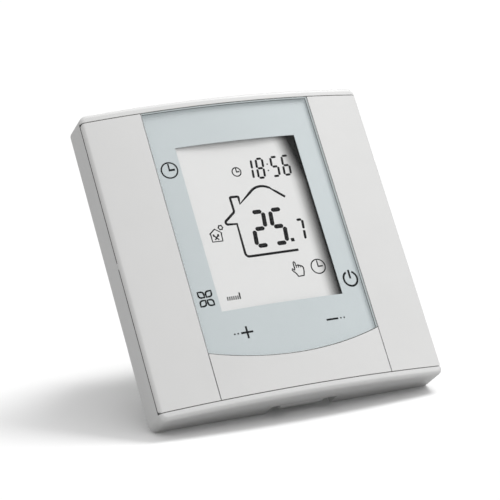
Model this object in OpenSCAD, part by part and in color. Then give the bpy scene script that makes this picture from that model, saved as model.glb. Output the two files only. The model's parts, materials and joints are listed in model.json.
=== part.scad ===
// Wall thermostat: a crowned touch front that hangs on a wall plate with a power box behind it.
// +Z is up, the front faces -Y, +X is to the right of someone who looks at it.
// The origin lies on the wall plane, midway between the two wall screws.

/* [Body] */
// Width of the body
body_w = 86; // [80:1:110]
// Height of the body
body_h = 90; // [88:1:112]
// Depth of the side walls, from their back edge to the front face beside them
edge_depth = 10; // [9:0.5:14]
// How far the crowned face stands proud of its two side edges
crown = 4; // [2:0.5:6]
// Gap between the housing's back edge and the wall
wall_gap = 0.4; // [0.3:0.1:1]
// Wall thickness of the front housing
wall = 1.8; // [1.4:0.1:2.2]
// Radius of the housing's four corners, seen from the front
corner_r = 1.5; // [0.8:0.1:3]
// Width of the rim above and below the front panels
rim = 2.3; // [2:0.1:3.2]
// Rounding of the rim's outer edge
rim_r = 1.2; // [0.6:0.1:1.6]

/* [Front panels] */
// Thickness of the strips, the fascia and the touch lens with its film
panel_t = 1.35; // [1.1:0.05:1.65]
// Seam between neighbouring panels
seam = 0.25; // [0.15:0.05:0.4]
// Rounding of the side strips' outer edges
edge_round = 1.1; // [0.6:0.1:1.2]
// Thickness of the deck that the panels lie on
deck_t = 1.6; // [1.2:0.1:2]
// Width of the touch lens
lens_w = 51.8; // [50:0.2:56]
// Distance from mid-height down to the lens's lower corners
lens_drop = 29.1; // [28.6:0.1:31]
// How far the lens's lower edge bulges below those corners
lens_bulge = 4; // [2:0.5:5]
// Thickness of the printed film behind the lens
film_t = 0.25; // [0.15:0.05:0.35]

/* [Display] */
// Width of the window in the printed film
window_w = 37; // [32:0.5:38]
// Height of the window
window_h = 49.4; // [42:0.2:50]
// Height of the window's middle above mid-height
window_z = 6.6; // [6.4:0.1:7.4]
// Margin of the display glass outside the window
glass_margin = 1.1; // [0.8:0.1:1.2]
// Thickness of the display glass
glass_t = 2.2; // [1.6:0.1:2.4]
// Gap between the middle of the film and the display glass
glass_gap = 0.95; // [0.9:0.05:1.2]
// Thickness of the backlight's light guide
guide_t = 2.4; // [1.6:0.1:2.6]

/* [Touch keys] */
// Height of the upper left key above mid-height
key_high_z = 24.6; // [18:0.2:28]
// Depth of the two lower side keys below mid-height
key_low_z = 14.2; // [10:0.2:16]
// Distance of the plus and minus keys from the middle
key_pair_x = 13; // [8:0.5:18]
// Depth of the plus and minus keys below mid-height
key_pair_z = 25.4; // [24.6:0.2:27]
// Radius of a touch spring
spring_r = 1.8; // [1.4:0.1:1.9]
// Wire diameter of a touch spring
spring_wire = 0.5; // [0.4:0.05:0.6]

/* [Control board] */
// Thickness of both circuit boards
board_t = 1.6; // [1:0.2:1.8]
// Distance from the wall to the back of the control board
board_y = 5; // [4.8:0.1:5.4]
// Gap between the control board's edge and the housing's side walls
board_gap = 1.6; // [1:0.2:4]
// Radius of the four screws that hold the control board
board_screw_r = 1; // [0.8:0.1:1.2]
// Number of contacts between the two boards
pins = 8; // [4:1:8]

/* [Wall plate] */
// Thickness of the wall plate
plate_t = 2; // [1.6:0.1:2.4]
// Distance between the two wall screws
screw_spacing = 60; // [60:0.5:66]
// Width of a wall screw's slot
slot_w = 4.2; // [3.6:0.1:4.4]
// End-to-end length of a slot
slot_len = 6; // [5:0.2:6]
// Radius of the bars that the front hangs on
bar_r = 0.8; // [0.6:0.05:0.95]
// Distance of each hanging bar from the middle
hook_x = 25; // [16:0.5:28]
// Width of the housing's lug on each bar
lug_w = 8; // [5:0.5:10]

/* [Release latch] */
// Place of the latch across the bottom edge
latch_x = 1; // [-8:0.5:8]
// Width of the opening in the bottom wall
latch_open_w = 20; // [18:0.5:24]
// Depth of that opening, from the back edge
latch_open_d = 5.6; // [5:0.1:6.2]
// Width of the latch's thumb tab
tab_w = 13; // [8:0.5:14]
// Travel of the latch
latch_travel = 1.8; // [1:0.1:2]

/* [Rear box] */
// Width of the box that goes into the wall
box_w = 50; // [49.6:0.2:51]
// Height of the box
box_h = 48; // [47:0.5:52]
// How far the box reaches behind the wall plane
box_depth = 28.6; // [28:0.2:34]
// Height of the box's middle above the wall screws
box_z = 1; // [0:0.5:2]
// Wall thickness of the box
box_wall = 1.6; // [1.2:0.1:1.8]
// Width of the flange round the box's mouth
flange = 1; // [0.8:0.1:1.2]
// Thickness of that flange
flange_t = 1.2; // [0.8:0.1:1.4]

/* [Terminals] */
// Number of poles
poles = 6; // [2:1:6]
// Distance from pole to pole
pitch = 7.5; // [7:0.1:7.5]
// Depth of the terminal block, from the power board to its back face
block_d = 14.6; // [14.2:0.1:15]
// Height of the terminal block
block_h = 12; // [11.5:0.1:13]
// Clear width of a wire clamp, for the wire
wire_w = 4.6; // [4.2:0.1:4.8]
// Clear height of an open wire clamp
wire_h = 4.8; // [4.4:0.1:5]
// How far a wire clamp closes
clamp_travel = 2.9; // [2:0.1:3]
// Radius of a terminal screw's shank
term_r = 1.25; // [1:0.05:1.4]

/* [Hidden] */
$fn = 48;
smooth = 720;              // facets round the crowned face
fit = 0.1;                 // gap between pieces that only lie side by side
touch = 0.02;              // gap between curved sheets that lie on each other
slack = 0.3;               // gap between pieces that move past each other
run = 0.06;                // radial gap of a turning fit

// Crowned face
depth = wall_gap + edge_depth + crown;
face_r = (pow(body_w / 2, 2) + crown * crown) / (2 * crown);
face_y = face_r - depth;   // axis of the crowned face
panel_h = body_h - 2 * rim;
side_y = -(wall_gap + edge_depth);
round_x = body_w / 2 - edge_round;
round_y = face_y - sqrt(pow(face_r - edge_round, 2) - round_x * round_x);
half_lens = lens_w / 2;
lens_low = lens_drop + lens_bulge;
bulge_r = (half_lens * half_lens + lens_bulge * lens_bulge) / (2 * lens_bulge);
rebate = 0.8;              // depth of the seam along the side walls
nib_w = 1.75;              // bridge across that seam at mid-height
peg_r = 0.9;
fascia_peg_x = half_lens - 4;
fascia_peg_z = -(lens_low + panel_h / 2) / 2;

// Display stack, from the front backwards
glass_w = window_w + 2 * glass_margin;
glass_h = window_h + 2 * glass_margin;
glass_y = -(depth - panel_t - glass_gap);
guide_y = glass_y + glass_t + fit;
board_front = -(board_y + board_t);
frame_wall = 0.5;
frame_w = glass_w + 2 * (fit + frame_wall);
frame_h = glass_h + 2 * (fit + frame_wall);
zebra_t = 1.2;
led_h = 1.0;

// Touch keys: [x, z] of each spring
key_x = (glass_w / 2 + half_lens) / 2 - 0.2;
keys = [[-key_x, key_high_z], [-key_x, -key_low_z], [key_x, -key_low_z],
        [-key_pair_x, -key_pair_z], [key_pair_x, -key_pair_z]];
key_hole_r = spring_r + 0.4;

// Inside of the housing
in_x = body_w / 2 - wall;
in_z = body_h / 2 - wall;
board_w = 2 * (in_x - board_gap);
board_top = in_z - 3.2;
board_low = -(in_z - 8.2);
boss_x = board_w / 2 - 5;
boss_top = board_top - 6;
boss_low = board_low + 5;
bosses = [for (x = [-boss_x, boss_x], z = [boss_low, boss_top]) [x, z]];
boss_r = 2.4;
peg_z = boss_top + boss_r + peg_r + 1;

// Wall plate and its hanging bars
plate_w = 2 * (in_x - 0.4);
plate_top = in_z - 0.4;
bar_z = in_z - 1;
bar_y = -(wall_gap + 1.8);
ear_w = 1.5;
swing_relief = 0.6;        // chamfer that lets the top edge roll on the wall
vent_w = 1.6;
vent_pitch = 5;

// Rear box
box_in_w = box_w - 2 * box_wall;
box_low = box_z - box_h / 2;
box_top = box_z + box_h / 2;
power_y = box_depth - 0.4 - block_d;      // back face of the power board
power_front = power_y - board_t;
post_x = box_in_w / 2 - 3.4;
post_z = box_top - box_wall - 3.4;
box_screw_x = box_w / 2 - 8;
box_screw_z = box_h / 2 + 1.6;             // from the box's middle
box_screw_r = 0.85;
box_screws_at = [for (x = [-1, 1], s = [-1, 1]) [x * box_screw_x, box_z + s * box_screw_z]];

// Terminals
block_w = poles * pitch + 1.4;
block_low = box_low + 0.4;
block_back = power_y + block_d;
cell_w = pitch - 1.1;                      // width of one pole's chamber
ledge_t = 0.4;
head_h = 1.55;
head_r = 1.9;
chamber_back = block_back - head_h - 0.2 - ledge_t;
clamp_t = 0.8;                             // thickness of a clamp's webs
clamp_side = 0.55;
clamp_back = chamber_back - clamp_travel - fit;
bar_back = clamp_back - clamp_t - 0.4;     // contact bar's back face
bar_t = 0.8;
clamp_front = bar_back - bar_t - wire_h - clamp_t;
clamp_low = block_low + 2.6;
clamp_len = 6;
screw_z = clamp_low + clamp_len / 2;
pin_z = clamp_low + clamp_len + 0.5;
pole_x = [for (i = [0 : poles - 1]) (i - (poles - 1) / 2) * pitch];

// Solder pins of the parts on the power board
part_low = block_low + block_h + 1.2;
relay_x = -12;
relay_w = 19.2;
relay_h = 15.4;
relay_pins = [for (i = [-1 : 1]) [relay_x + i * 8, part_low + 3.3]];
fuse_x = 8;
fuse_len = 8;
fuse_cap = 1.6;
fuse_pins = [for (s = [-1, 1]) [fuse_x + s * (fuse_len / 2 + 0.6), box_z + 11]];
coil_w = 10.8;
coil_h = 8.8;
coil_d = 11.4;
coil_at = [9.6, part_low + 7];

// Parts on the back of the control board: [x, z] of each middle
chip_at = [0, 1];
chip_side = 10;
crystal_at = [-8, 16];
buzzer_at = [-14, 3];
cell_at = [14.4, 12];
cell_r = 6.25;

// Boards' contacts
pin_pitch = 2.54;
pin_row_z = pin_z + 3;
pin_side = 0.64;
pin_tip = 4;
socket_front = -1.2;

// Release latch
latch_low = -(body_h / 2 - 0.3);
latch_y = -(plate_t + slack);              // back face of the latch's slider
latch_t = 2.1;
shoulder_low = -(in_z - 0.5);
shoulder_w = latch_open_w + 4;
slider_top = shoulder_low + 3.2;
latch_spring_r = 1.25;
latch_spring_wire = 0.35;
latch_spring_turns = 5;
seat_z = slider_top + latch_travel + (latch_spring_turns + 2) * latch_spring_wire + 0.75;
rail_top = slider_top + latch_travel + 0.2;
catch_h = 0.25;

// ---- helpers ----

// A box from its lowest corner to its highest
module block(low, high) {
    translate(low) cube(high - low);
}

// A cylinder along Y between two depths
module rod(r, y0, y1, at = [0, 0]) {
    translate([at[0], y1, at[1]]) rotate([90, 0, 0]) cylinder(r = r, h = y1 - y0);
}

// A cylinder along X, centred on x
module cross_rod(r, x, w, y, z) {
    translate([x - w / 2, y, z]) rotate([0, 90, 0]) cylinder(r = r, h = w);
}

// Pushes an outline drawn in X and Z from the wall plane out past the front
module outline() {
    rotate([90, 0, 0]) linear_extrude(height = depth + 4) children();
}

module rounded_rect(w, h, r) {
    square([w - 2 * r, h], center = true);
    square([w, h - 2 * r], center = true);
    for (x = [-1, 1], z = [-1, 1]) translate([x * (w / 2 - r), z * (h / 2 - r)]) circle(r = r);
}

// Everything behind the crowned face, set back by d
module crowned(d) {
    translate([0, face_y, -body_h]) cylinder(r = face_r - d, h = 2 * body_h, $fn = smooth);
}

// A curved sheet between two distances behind the face, with the given outline
module sheet(d0, d1) {
    intersection() {
        outline() children();
        difference() {
            crowned(d0);
            crowned(d1);
        }
    }
}

// The crowned body with its upper and lower front edges rounded
module rimmed_body() {
    ring = 40;
    translate([0, face_y, 0]) rotate_extrude($fn = smooth) {
        translate([face_r - ring, -body_h / 2]) square([ring - rim_r, body_h]);
        translate([face_r - ring, rim_r - body_h / 2]) square([ring, body_h - 2 * rim_r]);
        for (z = [-1, 1]) translate([face_r - rim_r, z * (body_h / 2 - rim_r)]) circle(r = rim_r);
    }
}

// A wire coil that rises along Z from z = 0, with ends cut square
module coil(r, wire, turns, height) {
    sides = 6;
    steps = turns * 12;
    rise = height - wire;
    points = [for (i = [0 : steps], k = [0 : sides - 1])
        let (a = 360 * turns * i / steps, b = 360 * k / sides, q = r + wire / 2 * cos(b))
        [q * cos(a), q * sin(a), wire / 2 + rise * i / steps + wire / 2 * sin(b)]];
    walls = [for (i = [0 : steps - 1], k = [0 : sides - 1])
        let (n = (k + 1) % sides)
        [i * sides + k, i * sides + n, (i + 1) * sides + n, (i + 1) * sides + k]];
    start = [for (k = [sides - 1 : -1 : 0]) k];
    finish = [for (k = [0 : sides - 1]) steps * sides + k];
    polyhedron(points = points, faces = concat(walls, [start, finish]));
}

// A pan-head screw along Y: the head's back face at y, the tip towards -Y
module pan_screw(r, len, head, cap, at, y) {
    difference() {
        union() {
            rod(r, y - cap - len, y - cap, at);
            rod(head, y - cap, y, at);
        }
        for (turn = [0, 90]) translate([at[0], y, at[1]]) rotate([0, turn, 0])
            cube([head * 1.3, cap * 0.9, r * 0.45], center = true);
    }
}

// ---- outlines of the front panels, in X and Z ----

module lens_outline(inset) {
    top = panel_h / 2 - seam / 2 - inset;
    x = half_lens - seam / 2 - inset;
    intersection() {
        translate([-x, -lens_low + inset]) square([2 * x, lens_low - inset + top]);
        union() {
            translate([-x, -lens_drop]) square([2 * x, lens_drop + top]);
            translate([0, bulge_r - lens_low]) circle(r = bulge_r - inset, $fn = smooth);
        }
    }
}

module window_outline(grow) {
    translate([0, window_z]) square([window_w + 2 * grow, window_h + 2 * grow], center = true);
}

// ---- front unit ----

// The deck's opening for the display, the spring holes and the panels' peg holes
module deck_holes() {
    block([-glass_w / 2 - slack, -depth, window_z - glass_h / 2 - slack],
          [glass_w / 2 + slack, 0, window_z + glass_h / 2 + slack]);
    for (k = keys) rod(key_hole_r, -depth, 0, k);
    for (x = [-1, 1], z = [-1, 0, 1]) rod(peg_r + fit, -depth, 0, [x * peg_x(), z * peg_z]);
    for (x = [-1, 1]) rod(peg_r + fit, -depth, 0, [x * fascia_peg_x, fascia_peg_z]);
}

function peg_x() = (half_lens + in_x) / 2;

module front_housing() color("gainsboro") {
    lug_back = wall_gap + 0.2;
    lug_front = 4;
    difference() {
        union() {
            difference() {
                intersection() {
                    outline() rounded_rect(body_w, body_h, corner_r);
                    rimmed_body();
                    block([-body_w, -depth - 1, -body_h], [body_w, -wall_gap, body_h]);
                }
                // recess that the panels lie in, open at both sides
                difference() {
                    block([-body_w, -depth - 2, -panel_h / 2 - seam / 2],
                          [body_w, -wall_gap - 1, panel_h / 2 + seam / 2]);
                    crowned(panel_t + touch);
                }
                // room behind the deck
                intersection() {
                    block([-in_x, -depth, -in_z], [in_x, 1, in_z]);
                    crowned(panel_t + deck_t);
                }
                deck_holes();
            }
            // bosses for the control board
            intersection() {
                for (b = bosses) rod(boss_r, -depth, board_front, b);
                crowned(panel_t + deck_t / 2);
            }
            // lugs that hang on the plate's bars
            for (x = [-1, 1]) block([x * hook_x - lug_w / 2, -lug_front, bar_z - 0.5],
                                    [x * hook_x + lug_w / 2, -lug_back, in_z + fit]);
            // ribs beside the latch opening, which the latch's shoulders pass
            for (x = [-1, 1]) translate([latch_x + x * (latch_open_w / 2 + 1), 0, 0])
                block([-0.8, -plate_t - 0.1, -in_z - fit], [0.8, -plate_t + 0.5, -in_z + catch_h]);
        }
        for (b = bosses) rod(board_screw_r + 0.05, board_front - 3.4, 0, b);
        for (x = [-1, 1]) cross_rod(bar_r + run, x * hook_x, lug_w + 2, bar_y, bar_z);
        // latch opening
        block([latch_x - latch_open_w / 2, -wall_gap - latch_open_d, -body_h],
              [latch_x + latch_open_w / 2, 1, -in_z + fit]);
        // air slots in the top wall
        for (i = [-2.5 : 2.5]) block([i * vent_pitch - vent_w / 2, -7.4, in_z - 1],
                                     [i * vent_pitch + vent_w / 2, -3, body_h]);
        // chamfer along the top back edge
        translate([0, -wall_gap, body_h / 2]) rotate([45, 0, 0])
            cube([2 * body_w, swing_relief * sqrt(2), swing_relief * sqrt(2)], center = true);
    }
}

// side = -1 for the left strip, 1 for the right one
module side_strip(side) color("whitesmoke") {
    x0 = half_lens + seam / 2;
    z1 = panel_h / 2 - seam / 2;
    end_r = 0.8;
    scale_x = side < 0 ? 1 : 0;
    mirror([scale_x, 0, 0]) {
        difference() {
            intersection() {
                sheet(0, panel_t) {
                    translate([x0, -z1]) square([body_w / 2 - end_r - x0, 2 * z1]);
                    translate([x0, end_r - z1]) square([body_w / 2 - x0, 2 * z1 - 2 * end_r]);
                    for (z = [-1, 1]) translate([body_w / 2 - end_r, z * (z1 - end_r)]) circle(r = end_r);
                }
                translate([0, 0, -body_h / 2]) linear_extrude(height = body_h) {
                    translate([0, -depth - 1]) square([round_x, depth]);
                    translate([0, round_y]) square([body_w / 2, depth]);
                    translate([round_x, round_y]) circle(r = edge_round);
                }
            }
            // seam along the side wall, bridged at mid-height
            for (z = [0, 1]) mirror([0, 0, z])
                block([body_w / 2 - rebate, side_y + edge_round, nib_w / 2], [body_w, 0, body_h]);
        }
        for (z = [-1, 0, 1]) intersection() {
            rod(peg_r, -depth, side_y + panel_t + deck_t, [peg_x(), z * peg_z]);
            crowned(panel_t / 2);
        }
    }
}

module side_strip_left() side_strip(-1);
module side_strip_right() side_strip(1);

module lower_fascia() color("whitesmoke") {
    x = half_lens - seam / 2;
    low = panel_h / 2 - seam / 2;
    sheet(0, panel_t) difference() {
        translate([-x, -low]) square([2 * x, low - lens_drop - seam]);
        translate([0, bulge_r - lens_low]) circle(r = bulge_r + seam, $fn = smooth);
    }
    for (s = [-1, 1]) intersection() {
        rod(peg_r, -depth, side_y + deck_t, [s * fascia_peg_x, fascia_peg_z]);
        crowned(panel_t / 2);
    }
}

module touch_lens() color("lightcyan") {
    sheet(0, panel_t - film_t - touch) lens_outline(0);
}

module print_film() color("lightsteelblue") {
    sheet(panel_t - film_t, panel_t) difference() {
        lens_outline(0.3);
        window_outline(0);
    }
}

module lcd_glass() color("gainsboro") {
    block([-glass_w / 2, glass_y, window_z - glass_h / 2],
          [glass_w / 2, glass_y + glass_t, window_z + glass_h / 2]);
}

// Frame that holds the glass and the light guide on the control board
module lcd_frame() color("white") {
    start = glass_y + glass_t - 0.5;
    difference() {
        block([-frame_w / 2, start, window_z - frame_h / 2],
              [frame_w / 2, board_front, window_z + frame_h / 2]);
        block([-glass_w / 2 - fit, start - 1, window_z - glass_h / 2 - fit],
              [glass_w / 2 + fit, board_front - 0.5, window_z + glass_h / 2 + fit]);
        block([-glass_w / 2 + 2, start - 1, window_z - glass_h / 2 + 2],
              [glass_w / 2 - 2, 0, window_z + glass_h / 2 - 2]);
    }
}

module light_guide() color("honeydew") {
    inset = zebra_t + 0.6;
    block([-glass_w / 2 + 0.6, guide_y, window_z - glass_h / 2 + inset + led_h],
          [glass_w / 2 - 0.6, board_front - 0.6, window_z + glass_h / 2 - inset]);
}

// White light-emitting diodes under the guide's lower edge
module backlight_leds() color("lightyellow") {
    z = window_z - glass_h / 2 + zebra_t + 0.5;
    for (x = [-12, -4, 4, 12])
        block([x - 1.5, guide_y + 0.3, z], [x + 1.5, board_front - 0.6, z + led_h - 0.1]);
}

// Rubber connectors between the glass's contact edges and the control board
module zebra_strips() color("dimgray") {
    for (s = [-1, 1]) {
        z = window_z + s * (glass_h / 2 - zebra_t / 2 - 0.1);
        block([-glass_w / 2 + 1, guide_y - fit, z - zebra_t / 2],
              [glass_w / 2 - 1, board_front - 0.5, z + zebra_t / 2]);
    }
}

// Distance from the control board to the film at a given x
function key_gap(x) = board_front - (face_y - sqrt(pow(face_r - panel_t, 2) - x * x));

module touch_springs() color("silver") {
    for (k = keys) translate([k[0], board_front, k[1]]) rotate([90, 0, 0])
        coil(spring_r - spring_wire / 2, spring_wire, 4, key_gap(abs(k[0]) + spring_r) - 0.05);
}

module control_board() color("darkgreen") {
    difference() {
        block([-board_w / 2, board_front, board_low], [board_w / 2, -board_y, board_top]);
        for (b = bosses) rod(board_screw_r + 0.15, -depth, 0, b);
        for (i = [0 : pins - 1]) translate([pin_x(i), 0, pin_row_z])
            cube([pin_side + 0.16, 2 * depth, pin_side + 0.16], center = true);
    }
}

function pin_x(i) = (i - (pins - 1) / 2) * pin_pitch;

module board_screws() color("silver") {
    for (b = bosses) pan_screw(board_screw_r, board_t + 3, 1.9, 1.1, b, -board_y + 1.1);
}

module microcontroller() color("#303030") {
    half = chip_side / 2;
    leg = 0.2;
    leg_pitch = 1.1;
    translate([chip_at[0], -board_y, chip_at[1]]) {
        block([-half, 0.1, -half], [half, 1.5, half]);
        for (i = [-3.5 : 3.5], turn = [0, 90]) rotate([0, turn, 0])
            block([-half - 1, 0, i * leg_pitch - leg], [half + 1, 0.3, i * leg_pitch + leg]);
    }
}

// Quartz crystal in a long round-ended can
module crystal() color("silver") {
    end_r = 2.2;
    straight = 6.8;
    tall = 3.4;
    translate([crystal_at[0], -board_y, crystal_at[1]]) {
        for (x = [-1, 1]) rod(end_r, 0, tall, [x * straight / 2, 0]);
        block([-straight / 2, 0, -end_r], [straight / 2, tall, end_r]);
    }
}

module buzzer() color("#252525") {
    y = -board_y;
    difference() {
        rod(4.5, y, y + 4, buzzer_at);
        rod(1, y + 3, y + 5, buzzer_at);
    }
}

module cell_holder() color("ivory") {
    y = -board_y;
    difference() {
        rod(cell_r + 0.9, y, y + 2.6, cell_at);
        rod(cell_r + fit, y + 0.5, y + 3, cell_at);
        block([cell_at[0] - 3, y + 0.5, cell_at[1]], [cell_at[0] + 3, y + 3, cell_at[1] + 9]);
    }
}

module coin_cell() color("silver") {
    rod(cell_r, -board_y + 0.5, -board_y + 2.5, cell_at);
}

// Bead on two leads that hangs by the latch opening, in the air that rises through the housing
module air_thermistor() color("saddlebrown") {
    x = latch_x + latch_open_w / 2 + 5;
    y = -board_y - board_t / 2;
    translate([x, y, board_low - 3.4]) sphere(r = 1.1);
    for (s = [-0.6, 0.6]) translate([x + s, y, board_low - 3]) cylinder(r = 0.25, h = 3, $fn = 16);
}

module pin_header() color("#202020") {
    w = pins * pin_pitch;
    block([-w / 2, -board_y, pin_row_z - 1.27], [w / 2, -board_y + 2.5, pin_row_z + 1.27]);
    for (i = [0 : pins - 1])
        block([pin_x(i) - pin_side / 2, board_front - 0.4, pin_row_z - pin_side / 2],
              [pin_x(i) + pin_side / 2, pin_tip, pin_row_z + pin_side / 2]);
}

// ---- wall unit ----

module wall_plate() color("white") {
    lug_space = lug_w + 2 * slack;
    hook_w = lug_space + 2 * ear_w;
    rail_x = shoulder_w / 2 + slack;
    difference() {
        union() {
            difference() {
                block([-plate_w / 2, -plate_t, -plate_top], [plate_w / 2, 0, plate_top]);
                for (x = [-1, 1]) block([x * hook_x - lug_space / 2, -depth, bar_z - 1.6],
                                        [x * hook_x + lug_space / 2, 1, body_h]);
            }
            for (x = [-1, 1]) {
                // ears and hanging bar
                for (e = [-1, 1]) translate([x * hook_x + e * (lug_space + ear_w) / 2, 0, 0])
                    block([-ear_w / 2, bar_y - bar_r, bar_z - 3], [ear_w / 2, 0, bar_z - 0.6]);
                for (e = [-1, 1])
                    cross_rod(bar_r, x * hook_x + e * (lug_space + ear_w) / 2, ear_w, bar_y, bar_z);
                cross_rod(bar_r, x * hook_x, hook_w - 0.4, bar_y, bar_z);
                // rails that guide the latch, with a lip in front
                translate([latch_x, 0, 0]) mirror([x < 0 ? 1 : 0, 0, 0]) {
                    block([rail_x, latch_y - latch_t - slack - 0.1, shoulder_low + 0.6],
                          [rail_x + 1.2, -plate_t + fit, rail_top]);
                    block([rail_x - 1, latch_y - latch_t - slack - 0.5, shoulder_low + 0.6],
                          [rail_x + 1.2, latch_y - latch_t - slack, rail_top]);
                }
            }
            // upper seat of the latch's spring
            block([latch_x - 2.4, latch_y - latch_t, seat_z], [latch_x + 2.4, -plate_t + fit, seat_z + 1.5]);
        }
        // opening for the box
        block([-box_w / 2 - fit, -depth, box_low - fit], [box_w / 2 + fit, 1, box_top + fit]);
        // slots for the wall screws, with a flat round each head
        for (x = [-1, 1]) {
            for (e = [-1, 1])
                rod(slot_w / 2, -depth, 1, [x * screw_spacing / 2 + e * (slot_len - slot_w) / 2, 0]);
            block([x * screw_spacing / 2 - (slot_len - slot_w) / 2, -depth, -slot_w / 2],
                  [x * screw_spacing / 2 + (slot_len - slot_w) / 2, 1, slot_w / 2]);
        }
        for (b = box_screws_at) rod(box_screw_r + 0.05, -depth, 1, b);
    }
}

module rear_box() color("gainsboro") {
    difference() {
        union() {
            translate([0, box_depth, box_z]) rotate([90, 0, 0])
                linear_extrude(height = box_depth + plate_t) rounded_rect(box_w, box_h, 2);
            block([-box_w / 2 - flange, -plate_t - flange_t, box_low - flange],
                  [box_w / 2 + flange, -plate_t, box_top + flange]);
            for (b = box_screws_at) rod(box_screw_r + 1.45, -plate_t - flange_t, -plate_t, b);
        }
        block([-box_in_w / 2, -depth, box_low + box_wall],
              [box_in_w / 2, box_depth - box_wall, box_top - box_wall]);
        // the terminal block fills the lower back corner
        block([-box_in_w / 2, power_y, box_low - 1],
              [box_in_w / 2, box_depth + 1, block_low + block_h + fit]);
        // air slots in both sides
        for (i = [1 : 4]) block([-box_w, i * vent_pitch - vent_w / 2, box_z],
                                [box_w, i * vent_pitch + vent_w / 2, box_z + 14]);
        for (b = box_screws_at) rod(box_screw_r + 0.35, -depth, 1, b);
    }
    // posts and ledges that carry the power board
    for (x = [-1, 1]) difference() {
        rod(2.6, power_y, box_depth - box_wall + fit, [x * post_x, post_z]);
        rod(board_screw_r + 0.05, power_y - 1, power_y + 6, [x * post_x, post_z]);
    }
    for (x = [-1, 1]) block([x * (box_in_w / 2 - 0.5) - 0.7, power_y, block_low + block_h + 1],
                            [x * (box_in_w / 2 - 0.5) + 0.7, power_y + 2, block_low + block_h + 4]);
}

module box_screws() color("silver") {
    head_t = 1;
    for (b = box_screws_at) mirror([0, 1, 0])
        pan_screw(box_screw_r, flange_t + plate_t - 0.2, 1.9, head_t, b, plate_t + flange_t + head_t);
}

module power_board() color("darkgreen") {
    difference() {
        block([-box_in_w / 2 + 0.2, power_front, box_low + box_wall + 0.2],
              [box_in_w / 2 - 0.2, power_y, box_top - box_wall - 0.2]);
        for (x = [-1, 1]) rod(board_screw_r + 0.15, 0, box_depth, [x * post_x, post_z]);
        for (x = pole_x) translate([x, power_y, pin_z]) cube([1.4, 4, 1.2], center = true);
        for (p = concat(relay_pins, fuse_pins)) rod(0.6, 0, box_depth, p);
    }
}

module power_board_screws() color("silver") {
    for (x = [-1, 1]) mirror([0, 1, 0])
        pan_screw(board_screw_r, board_t + 4, 1.9, 1.1, [x * post_x, post_z], -power_front + 1.1);
}

module relay() color("royalblue") {
    block([relay_x - relay_w / 2, power_y, part_low],
          [relay_x + relay_w / 2, power_y + 12.6, part_low + relay_h]);
    for (p = relay_pins) rod(0.4, power_front - 0.8, power_y, p);
}

// Electrolytic capacitors on the front of the power board
module bulk_capacitors() color("#303a60") {
    for (c = [[-15, 2, 4], [-15, 12, 4], [15, -2, 3.2]]) {
        rod(c[2], power_front - 9.6, power_front - 0.4, [c[0], box_z + c[1]]);
        rod(c[2] - 0.5, power_front - 10, power_front, [c[0], box_z + c[1]]);
    }
}

module film_capacitor() color("goldenrod") {
    z = box_top - box_wall - 6.6;
    block([-10, power_y, z], [4, power_y + 10, z + 6]);
}

module varistor() color("steelblue") {
    z = box_top - box_wall - 5.4;
    translate([8.4, power_y + 5, z]) rotate([0, 90, 0]) cylinder(r = 4.4, h = 3.6);
}

module fuse() color("tan") {
    y = power_front - 2.6;
    cross_rod(2.1, fuse_x, fuse_len, y, fuse_pins[0][1]);
    for (p = fuse_pins) {
        cross_rod(2.3, p[0], fuse_cap, y, p[1]);
        rod(0.4, y, power_y + 0.8, p);
    }
}

// Ferrite core of the small transformer, a square ring round its winding
module transformer_core() color("#3a3a3a") translate([coil_at[0], power_y, coil_at[1]]) {
    limb = 2.4;
    difference() {
        block([-coil_w / 2 - limb, 3, -coil_h / 2 - limb], [coil_w / 2 + limb, 8.4, coil_h / 2 + limb]);
        block([-coil_w / 2 - fit, 0, -coil_h / 2 - fit], [coil_w / 2 + fit, coil_d, coil_h / 2 + fit]);
    }
}

module transformer_coil() color("gold") translate([coil_at[0], power_y, coil_at[1]])
    block([-coil_w / 2, 0, -coil_h / 2], [coil_w / 2, coil_d, coil_h / 2]);

module socket_header() color("#202020") {
    w = pins * pin_pitch + 1;
    difference() {
        block([-w / 2, socket_front, pin_row_z - 2.2], [w / 2, power_front, pin_row_z + 2.2]);
        block([-w / 2 + 0.8, socket_front - 1, pin_row_z - 1.1],
              [w / 2 - 0.8, pin_tip + 2, pin_row_z + 1.1]);
    }
}

module terminal_block() color("forestgreen") {
    difference() {
        block([-block_w / 2, power_y, block_low], [block_w / 2, block_back, block_low + block_h]);
        for (x = pole_x) {
            // chamber, open below for the wire
            block([x - cell_w / 2, clamp_front - 0.2, block_low + 1.4],
                  [x + cell_w / 2, chamber_back, pin_z + 0.8]);
            block([x - wire_w / 2, clamp_front + clamp_t, block_low - 1],
                  [x + wire_w / 2, bar_back - bar_t, block_low + 2]);
            // contact's pin, and the screw's ledge and head
            block([x - 0.7, 0, pin_z - 0.6], [x + 0.7, clamp_front, pin_z + 0.6]);
            rod(term_r + run, chamber_back - 1, block_back, [x, screw_z]);
            rod(head_r + 0.2, chamber_back + ledge_t, block_back + 1, [x, screw_z]);
        }
    }
}

// Brass bars that the wires are pressed against, with their solder pins
module terminal_bars() color("darkgoldenrod") {
    for (x = pole_x) {
        block([x - wire_w / 2 + 0.3, bar_back - bar_t, clamp_low + 0.2],
              [x + wire_w / 2 - 0.3, bar_back, pin_z + 0.5]);
        block([x - 0.6, power_front - 0.8, pin_z - 0.5], [x + 0.6, bar_back, pin_z + 0.5]);
    }
}

module terminal_screw(i) if (i < poles) color("silver") {
    at = [pole_x[i], screw_z];
    y = chamber_back + ledge_t + 0.05;
    difference() {
        union() {
            rod(term_r, bar_back + 0.05, y, at);
            rod(head_r, y, y + head_h, at);
        }
        translate([at[0], y + head_h, at[1]]) cube([2 * head_r + 1, 1.5, 0.7], center = true);
    }
}

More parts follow.
